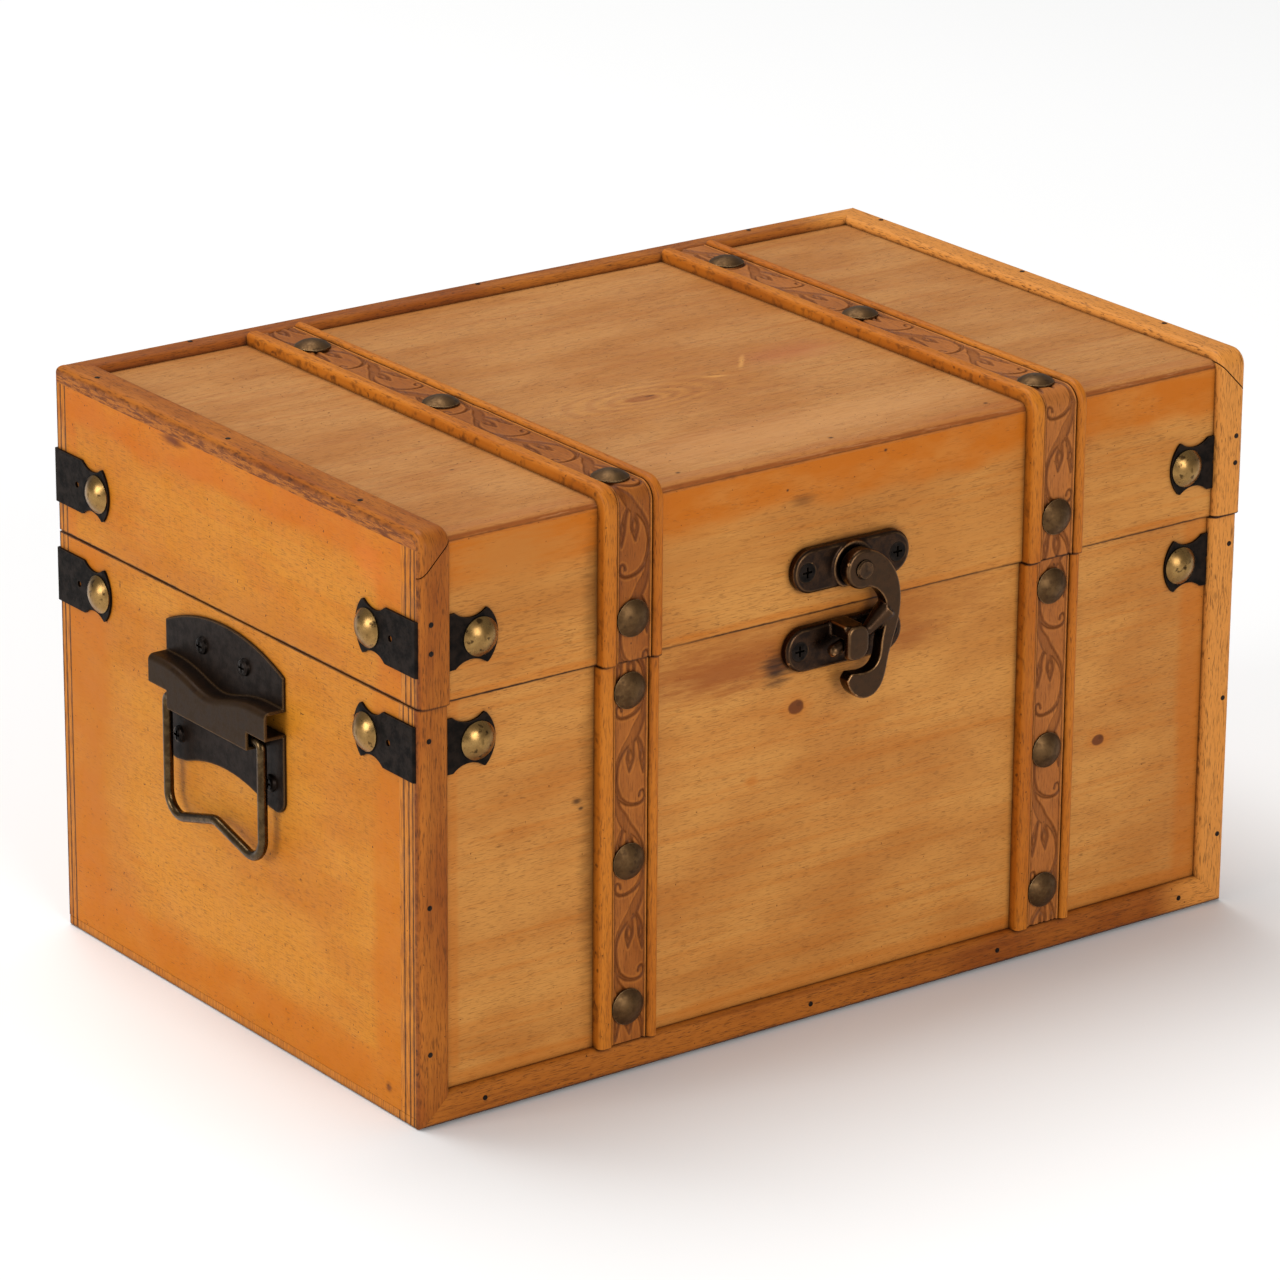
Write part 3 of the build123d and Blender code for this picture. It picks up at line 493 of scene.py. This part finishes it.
TOP_MARKS = on_face(Z, TOP, 5, (
    (8, -21, 7, 1.6, srgb(222, 160, 84), 0.55, 20),      # pale scratches
    (23, -14, 9, 1.3, srgb(226, 164, 86), 0.6, -50),
    (40, -14, 26, 12, srgb(176, 98, 62), 0.4),
    (-10, -74, 110, 20, srgb(206, 150, 94), 0.5),
    (-55.5, -87.9, 1.3, 0.9, SCUFF, 0.9),                # nail dots
    (-0.3, -87.4, 1.3, 0.9, SCUFF, 0.9),
    (57, -87.4, 1.2, 0.9, SCUFF, 0.9),
    (-106.2, -49, 1.6, 0.7, SCUFF, 0.8)))
BODY_KNOTS = (((-16.3, BODY_FRONT, 98.7), (3.3, 4, 2.6)), ((99.4, BODY_FRONT, 63.3), (2.8, 4, 2.0)))

TRIM_TONES = (srgb(170, 98, 30), srgb(140, 72, 18), srgb(108, 48, 10), srgb(60, 28, 8))
TRIM = {"tones": TRIM_TONES, "contrast": 1.4, "crease_shade_strength": 0.9, "extra": worn_trim}
WOODS = {
    "panel_wood": {
        "run": (X,), "tones": (PALE, DARK, STAIN, PORE), "ply": layer_lines(BODY_FRONT),
        "borders": ((X, POST, 10, 0.6), (Z, SKIRT, 6, 0.5), (X, -POST, 4, 0.4)),
        "knots": BODY_KNOTS, "stains": BODY_FRONT_MARKS},
    "lid_front": {
        "run": (X,), "tones": (PALE, DARK, srgb(184, 98, 8), PORE), "ply": layer_lines(LID_FRONT),
        "borders": ((Z, TOP_JOINT, 14, 0.95), (Z, PARTING + 0.1, 3, 0.4)),
        "stains": LID_FRONT_MARKS},
    "end_wood": {
        "run": (Y,), "tones": (srgb(202, 131, 38), srgb(190, 114, 24), srgb(190, 104, 0), PORE),
        "cross": 0.22, "stains": BODY_END_MARKS,
        "borders": ((Y, BODY_FRONT + 7.6, 14, 0.75), (Y, BACK_JOINT, 22, 0.85),
                    (Z, FLOOR_JOINT, 17, 0.8))},
    "lid_end": {
        "run": (Y,), "tones": (srgb(202, 129, 34), srgb(192, 113, 20), srgb(192, 98, 0), PORE),
        "cross": 0.22, "stains": LID_END_MARKS,
        "borders": ((Z, TOP_JOINT, 12, 0.75), (Y, LID_FRONT + 7.9, 14, 0.7),
                    (Y, BACK_JOINT, 6, 0.6))},
    # The top's tones are paler and greyer than the other woods': the top's own tone with painted sheen
    # of the light above mixed in.
    "top_wood": {
        "run": (X,), "tones": (srgb(187, 130, 72), srgb(174, 113, 55), srgb(164, 92, 40), PORE),
        "extra": top_figure, "borders": ((Y, LID_FRONT + 0.9, 6, 0.4),), "stains": TOP_MARKS},
    "trim_x": {"run": (X,), **TRIM},
    "trim_wood": {"run": (Y, Z), **TRIM},
    "strap_wood": {
        "run": (Y, Z), "tones": (srgb(190, 112, 30), srgb(172, 94, 20), srgb(140, 66, 10), PORE),
        "contrast": 1.3, "crease_shade_strength": 0.9},
    "band_wood": {
        "run": (Y, Z), "tones": (srgb(160, 92, 34), srgb(138, 74, 22), srgb(112, 54, 12), PORE),
        "extra": relief_tint, "contrast": 1.2},
}


# ---- metal ----------------------------------------------------------------------------------
def metal(name, body, worn, tarnish, rough=(0.3, 0.5), wear=0.5, metallic=1.0, edge=0.4,
          spots=0.55, spot_tone=None, grain=0.08, rounded=0.0, handled=None, specular=0.12):
    """Aged plated metal: painted shade in the hollows, bright on the edges, with tarnish spots.

    rounded: how bright the gentle curves of a fine-meshed casting are worn and highlighted, a painted
    highlight with the wear.
    handled: an axis, two distances along it and a strength, for parts that stand out and are worn.
    """
    f = Finish(name)
    cloud = f.noise((3.2, 3.2, 3.2), detail=5, rough=0.65)
    fine = f.noise((0.6, 0.6, 0.6), rough=0.6)
    spot = f.step(f.noise((2.0, 2.0, 2.0)), 0.58, 0.68)
    colour = f.mix(f.step(cloud, 0.35, 0.65), body, tarnish)
    colour = f.mix(f.times(spot, spots), colour, spot_tone or tarnish)
    flat = f.math("ADD", f.flatness(edge), f.math("MULTIPLY_ADD", fine, 0.04, -0.02))
    colour = f.mix(f.times(f.step(flat, 0.965, 0.86), wear), colour, worn)
    if rounded:
        # Worn brass and a painted highlight on the casting's gentle convex curves.
        curve = f.math("MULTIPLY_ADD", cloud, 0.03, f.add("NewGeometry").outputs["Pointiness"])
        colour = f.mix(f.times(f.step(curve, 0.524, 0.56), rounded), colour, worn)
    if handled:
        axis, low, high, strength = handled
        out = f.step(f.away(axis), low, high, 0.0, strength)
        colour = f.mix(f.times(out, f.step(cloud, 0.3, 0.6, 0.4, 1.0)), colour, worn)
    # Painted shade in the hollows and corners, from ambient occlusion.
    colour = f.mix(f.times(f.occlusion_shade(1.4), 0.85), colour, srgb(12, 9, 7))
    roughness = f.step(f.math("ADD", f.times(cloud, 0.7), f.times(fine, 0.3)), 0.35, 0.65, *rough)
    f.relief(f.math("ADD", f.times(fine, 0.5), f.times(cloud, 0.5)), grain, 0.7)
    return f.done(colour, roughness, Metallic=metallic, Specular_IOR_Level=specular)


METALS = {
    "bracket_steel": {
        "body": srgb(32, 24, 19), "worn": srgb(96, 74, 54), "tarnish": BLACK, "rough": (0.4, 0.6),
        "wear": 0.3, "metallic": 0.12, "edge": 0.3, "specular": 0.04},
    "tack_brass": {
        "body": srgb(98, 73, 46), "worn": srgb(190, 162, 118), "tarnish": srgb(80, 58, 36),
        "rough": (0.42, 0.6), "wear": 0.75, "edge": 0.3, "spots": 0.5,
        "spot_tone": srgb(54, 38, 26), "grain": 0.04},
    "nail_brass": {
        "body": srgb(156, 122, 72), "worn": srgb(206, 176, 118), "tarnish": srgb(136, 104, 60),
        "rough": (0.24, 0.34), "wear": 0.4, "edge": 0.5, "spots": 0.85,
        "spot_tone": srgb(62, 44, 26), "grain": 0.015},
    "latch_bronze": {
        "body": srgb(84, 61, 42), "worn": srgb(150, 116, 80), "tarnish": srgb(58, 44, 34),
        "rough": (0.24, 0.42)},
    "latch_cast": {
        "body": srgb(60, 42, 30), "worn": srgb(172, 128, 84), "tarnish": srgb(40, 30, 25),
        "rough": (0.26, 0.42), "wear": 0.75, "edge": 0.9, "rounded": 0.8,
        "handled": (Y, 100.0, 104.0, 0.07)},
    "handle_steel": {
        "body": srgb(32, 21, 14), "worn": srgb(128, 92, 50), "tarnish": srgb(22, 14, 9),
        "rough": (0.34, 0.52), "wear": 0.6, "metallic": 0.2, "edge": 1.1,
        "handled": (X, END + 3, END + 7, 0.1), "specular": 0.06},
    "bail_steel": {
        "body": srgb(88, 70, 46), "worn": srgb(150, 122, 80), "tarnish": srgb(58, 44, 28),
        "rough": (0.24, 0.36), "wear": 0.4, "grain": 0.04},
    "hinge_steel": {
        "body": srgb(96, 72, 46), "worn": srgb(170, 138, 90), "tarnish": srgb(52, 38, 24)},
    "screw_steel": {
        "body": srgb(34, 27, 23), "worn": srgb(74, 60, 48), "tarnish": BLACK,
        "rough": (0.35, 0.5), "wear": 0.25, "metallic": 0.8},
    "panel_pins": {
        "body": srgb(44, 34, 28), "worn": srgb(80, 66, 54), "tarnish": BLACK,
        "rough": (0.4, 0.6), "wear": 0.3, "metallic": 0.5},
}

made = {name: wood(name, **look) for name, look in WOODS.items()}
made.update({name: metal(name, **look) for name, look in METALS.items()})
OVERRIDES = {
    "lid_front_panel": "lid_front",
    "lid_back_panel": "lid_front",
    "lid_end_panel_left": "lid_end",
    "lid_end_panel_right": "lid_end",
    "base_trim": "trim_x",
    "lid_top_trim_back": "trim_x",
}


def finish_nodes():
    """Each CAD node takes the finish of its record slot, or its override."""
    slots = {name: node.data.materials[0].name.split(".")[0] for name, node in NODES.items()}
    for name, slot in slots.items():
        for held in NODES[name].material_slots:
            held.material = made[OVERRIDES.get(name, slot)]


finish_nodes()


# ---- carved bands ---------------------------------------------------------------------------
UNIT = 27.0              # length of one unit of the vine, which mirrors the one before it
GRID = 0.22              # spacing of the strips' points
FIELD_HALF = 5.3         # half width of the carved field
RIDGE_AT = 5.72          # the thin ridge along each side, from the strip's middle
GROOVE_AT = 5.25         # the groove inside that ridge
FIELD_DROP = 0.28        # how far the field lies below the band's face
CUT_DEPTH = 0.5
RIDGE_RISE = 0.24
GROOVE_DEPTH = 0.3
SIDE_DROP = 0.35         # how far the strip's outer edges are worn down
BEYOND = 9.0             # a distance beyond any cut
EDGE_R = 2.6             # radius of a lid strap's turn over the front edge
BAND_OUT = 2.9           # the band's face, from the path that the strip is built on
BED_OUT = 1.25           # the strip's underside, from that path
# uncut islets inside the two leaves: across, down and the two radii
ISLETS = ((0.05, 6.7, 0.55, 1.5), (4.2, 7.3, 0.4, 1.3))


def strokes():
    """The sunken lines of one unit of the vine, as (across, down, half width) in millimetres."""
    stem = [(4.7, -9, 0.5), (4.2, -5.5, 0.9), (2.5, -2, 1.6), (0.8, 1, 1.5), (-1.9, 3.6, 0.85),
            (-4.0, 7, 0.6), (-4.9, 11, 0.5), (-4.7, 15, 0.5), (-3.6, 18.6, 0.6)]
    leaf = [(0.7, 1.5, 0.5), (0.35, 4.2, 1.0), (0.0, 7.0, 1.45), (-0.2, 9.3, 0.8),
            (-0.35, 11.2, 0.15)]
    outer_leaf = [(2.4, 1.0, 0.4), (3.6, 4.2, 0.7), (4.2, 7.6, 1.0), (4.45, 10.2, 0.6),
                  (4.6, 12.4, 0.12)]
    curl = [(3.2, 19.2, 0.3), (3.5, 18.1, 0.25), (4.4, 17.6, 0.25), (5.1, 18.6, 0.25),
            (5.0, 20.1, 0.3), (3.7, 21.3, 0.35), (1.4, 21.5, 0.4), (-1.2, 20.7, 0.5),
            (-3.3, 19.0, 0.6)]
    return [stem, leaf, outer_leaf, curl]


def drawn(points, steps=14):
    """Points close together on a smooth curve through the given ones."""
    p = np.array(points, float)
    p = np.vstack([2 * p[0] - p[1], p, 2 * p[-1] - p[-2]])
    t = np.linspace(0, 1, steps, endpoint=False)[:, None]
    parts = []
    for a, b, c, d in zip(p[:-3], p[1:-2], p[2:-1], p[3:]):
        parts.append(0.5 * (2 * b + (c - a) * t + (2 * a - 5 * b + 4 * c - d) * t ** 2
                            + (3 * b - a - 3 * c + d) * t ** 3))
    return np.vstack(parts + [p[-2:-1]])


def smooth(value, low, high):
    t = np.clip((value - low) / (high - low), 0, 1)
    return t * t * (3 - 2 * t)


def carved(across, down):
    """Signed distance in millimetres to the nearest cut, negative inside it."""
    unit = np.floor(down / UNIT)
    mirror = np.where(unit % 2 == 0, 1.0, -1.0)
    u, v = across * mirror, down - unit * UNIT
    away = np.full(u.shape, BEYOND)
    vine = np.vstack([drawn(line) for line in strokes()])
    for shift in (-1, 0, 1):
        side = 1.0 if shift == 0 else -1.0
        for x, y, half in vine:
            away = np.minimum(away, np.hypot(u - side * x, v - y - shift * UNIT) - half)
    for x, y, half_x, half_y in ISLETS:
        isle = (np.hypot((u - x) / half_x, (v - y) / half_y) - 1) * half_x
        away = np.maximum(away, -isle)
    return away


def strap_path(lid, front, low, back, top):
    """Height above the path's start, point and outward direction along a strap, in millimetres.

    A body strap only climbs. A lid strap turns over the edge and runs back along the top.
    """
    if not lid:
        s = np.arange(low, back + GRID / 2, GRID)
        s[-1] = back
        flat = np.zeros_like(s)
        return s, np.stack([flat + front, s], 1), np.stack([flat - 1, flat], 1)
    climb = top - EDGE_R - low
    turn = (EDGE_R + BAND_OUT) * math.pi / 2
    total = climb + turn + back - front - EDGE_R
    s = np.linspace(0, total, int(total / GRID) + 1)
    angle = np.clip((s - climb) / turn, 0, 1) * math.pi / 2
    out = np.stack([-np.cos(angle), np.sin(angle)], 1)
    up = np.minimum(s, climb)
    along_top = np.maximum(s - climb - turn, 0)
    centre = np.stack([front + EDGE_R + along_top, low + up], 1)
    return s + low, centre + EDGE_R * out, out


def band_relief(s, across, away, half, seed):
    """Height above the path, how dirty the wood is, and how much polish and painted highlight it has, at
    each point.
    """
    rim = np.abs(across)
    inside = rim < FIELD_HALF
    cut = smooth(-away, -0.12, 0.32) * inside
    ridge = smooth(0.34 - np.abs(rim - RIDGE_AT), 0, 0.25)
    groove = smooth(0.22 - np.abs(rim - GROOVE_AT), 0, 0.2)
    rng = np.random.default_rng(seed)
    wave = np.interp(s, np.linspace(s[0], s[-1], 40), rng.normal(0, 0.05, 40))[:, None]
    height = BAND_OUT - FIELD_DROP + wave * 0.5 - CUT_DEPTH * cut
    height = height + RIDGE_RISE * ridge - GROOVE_DEPTH * groove
    height -= SIDE_DROP * smooth(rim, half - 0.22, half)
    dirty = np.clip(np.exp(-(away / 0.3) ** 2) * inside + 0.55 * cut + groove, 0, 1)
    # Polished ridges, and a pale rim just outside each cut: worn high edges with a painted highlight.
    polish_and_highlight = np.clip(ridge + 0.3 * np.exp(-((away - 0.6) / 0.25) ** 2) * inside, 0, 1)
    return height, dirty, polish_and_highlight


def widened(values, edge):
    """One more column of a value at each side."""
    column = np.full((len(values), 1), edge)
    return np.hstack([column, values, column])


def strip_faces(rows, columns):
    """Faces over a grid of points, with the underside and both ends closed."""
    index = np.arange(rows * columns).reshape(rows, columns)
    corners = [index[:-1, :-1], index[:-1, 1:], index[1:, 1:], index[1:, :-1]]
    quads = np.stack(corners, 2).reshape(-1, 4)
    under = np.stack([index[:-1, -1], index[:-1, 0], index[1:, 0], index[1:, -1]], 1)
    faces = np.vstack([quads, under]).tolist()
    return faces + [index[0].tolist()[::-1], index[-1].tolist()]


def linked(name, data):
    """A new object in the scene."""
    piece = bpy.data.objects.new(name, data)
    bpy.context.scene.collection.objects.link(piece)
    return piece


def carved_band(name, node, body, lid, phase):
    """A strip with the vine cut into it and a thin ridge along each side.

    phase: the height along the strap at which a unit of the vine starts.
    """
    low, high = box_mm(node)
    mid, half = (low[X] + high[X]) / 2, (high[X] - low[X]) / 2
    end = high[Y] if lid else high[Z]
    s, path, out = strap_path(lid, low[Y] + BAND_OUT, low[Z], end, high[Z] - BAND_OUT)
    across, climb = np.meshgrid(np.linspace(-half, half, int(2 * half / GRID) + 1), s)
    away = carved(across, phase - climb)
    height, dirty, polish_and_highlight = band_relief(s, across, away, half, int(abs(mid) * 10) + lid)
    across = np.hstack([across[:, :1], across, across[:, -1:]])
    height = widened(height, BED_OUT)
    points = np.stack([across + mid, path[:, None, 0] + out[:, None, 0] * height,
                       path[:, None, 1] + out[:, None, 1] * height], 2) * MM
    mesh = bpy.data.meshes.new(name)
    mesh.from_pydata(points.reshape(-1, 3).tolist(), [], strip_faces(*height.shape))
    values = np.zeros((height.size, 4))
    values[:, 0] = widened(dirty, 1.0).reshape(-1)
    values[:, 1] = widened(polish_and_highlight, 0.0).reshape(-1)
    values[:, 3] = 1.0
    layer = mesh.attributes.new("relief", "FLOAT_COLOR", "POINT")
    layer.data.foreach_set("color", values.reshape(-1))
    mesh.shade_smooth()
    mesh.materials.append(made["band_wood"])
    piece = linked(name, mesh)
    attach(piece, body)
    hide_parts(node)


BANDS = (
    ("carved_body_band_left", "body_band_left", "chest", False, 104.3),
    ("carved_body_band_right", "body_band_right", "chest", False, 98.9 - UNIT),
    ("carved_lid_band_left", "lid_band_left", "lid", True, 147.0),
    ("carved_lid_band_right", "lid_band_right", "lid", True, 165.0),
)
for band in BANDS:
    carved_band(*band)


# ---- cast and stamped metal, worn wood edges ------------------------------------------------
def modified(piece, *modifiers):
    for kind, settings in modifiers:
        modifier = piece.modifiers.new(kind.lower(), kind)
        for key, value in settings.items():
            setattr(modifier, key, value)


def eased(node, width, segments=2, angle=35):
    """Rounds a CAD node's sharp edges by a width in millimetres, as wear does."""
    modified(NODES[node],
             ("WELD", {"merge_threshold": 0.002 * MM}),
             ("BEVEL", {"width": width * MM, "segments": segments, "limit_method": "ANGLE",
                        "angle_limit": math.radians(angle), "loop_slide": False}),
             ("WEIGHTED_NORMAL", {"keep_sharp": False}))


def cast(node, turns):
    """A casting in place of a CAD node: its edges flow together, as in a worn mould."""
    source = NODES[node]
    data = source.data.copy()
    data.name = "cast_" + node
    piece = linked("cast_" + node, data)
    data.materials.clear()
    data.materials.append(made["latch_cast"])
    modified(piece,
             ("REMESH", {"mode": "VOXEL", "voxel_size": CAST_VOXEL * MM, "use_smooth_shade": True}),
             ("SMOOTH", {"factor": 0.5, "iterations": turns}))
    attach(piece, source["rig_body"])
    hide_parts(node)


def ease_edges():
    """Wears the sharp edges of the brackets, the handle plates and the wooden pieces."""
    for name in NODES:
        if "bracket_" in name and "nails" not in name:
            eased(name, 0.12)
        elif name.startswith("handle_plate"):
            eased(name, 0.3, 3)
        elif "panel" in name:
            eased(name, 0.35)
        elif "trim" in name and "pins" not in name:
            eased(name, 0.35, 2, 50)
        elif "strap_left" in name or "strap_right" in name:
            eased(name, 0.25, 2, 50)


CAST_VOXEL = 0.28
for node, turns in (("latch_hook", 20), ("latch_keeper", 14), ("latch_plate", 7)):
    cast(node, turns)
ease_edges()


# ---- studio ---------------------------------------------------------------------------------
WORLD_LIGHT = 0.32
LIGHTS = (               # name, place, size and power
    ("key", (-3.3, 0.3, 1.0), 1.5, 48),
    ("front", (-0.5, -3.7, 1.2), 1.8, 68),
    ("over", (-0.2, 1.2, 3.2), 2.2, 83),
)
LIGHTS_AIM = Vector((0, 0, 0.08))
FLOOR_GAP = 0.0002
CAMERA_PLACE = (-1.064463, -1.43687, 0.73249)
CAMERA_ANGLES = (-36.442, 19.8095, 0.4318)      # azimuth, elevation and roll in degrees
CAMERA_LENS = 176.57


def floor():
    bpy.ops.mesh.primitive_plane_add(size=12, location=(0, 2.5, cad_box[0].z - FLOOR_GAP))
    sheet = bpy.context.object
    sheet.name = "floor"
    f = Finish("floor_paper")
    tone = f.mix(f.noise((900, 900, 900), detail=2), srgb(244, 244, 243), srgb(250, 250, 250))
    sheet.data.materials.append(f.done(tone, 0.9, Specular_IOR_Level=0.1))


def lights():
    world = bpy.data.worlds.new("studio")
    bpy.context.scene.world = world
    world.use_nodes = True
    background = world.node_tree.nodes["Background"]
    background.inputs[0].default_value = (1.0, 1.0, 1.0, 1.0)
    background.inputs[1].default_value = WORLD_LIGHT
    for name, place, size, power in LIGHTS:
        data = bpy.data.lights.new(name, "AREA")
        data.size = size
        data.energy = power
        light = linked(name, data)
        light.location = place
        light.rotation_euler = (LIGHTS_AIM - Vector(place)).to_track_quat("-Z", "Y").to_euler()


def camera():
    azimuth, elevation, roll = (math.radians(angle) for angle in CAMERA_ANGLES)
    back = Vector((math.sin(azimuth) * math.cos(elevation),
                   -math.cos(azimuth) * math.cos(elevation), math.sin(elevation)))
    side = Vector((0, 0, 1)).cross(back).normalized()
    rise = back.cross(side)
    right = math.cos(roll) * side + math.sin(roll) * rise
    up = -math.sin(roll) * side + math.cos(roll) * rise
    data = bpy.data.cameras.new("camera")
    data.sensor_width = 36
    data.lens = CAMERA_LENS
    data.clip_start, data.clip_end = 0.05, 50
    data.dof.use_dof = False
    eye = linked("camera", data)
    turn = Matrix((right, up, back)).transposed().to_4x4()
    eye.matrix_world = Matrix.Translation(CAMERA_PLACE) @ turn
    bpy.context.scene.camera = eye


floor()
lights()
camera()
bpy.context.scene.view_settings.view_transform = "Standard"
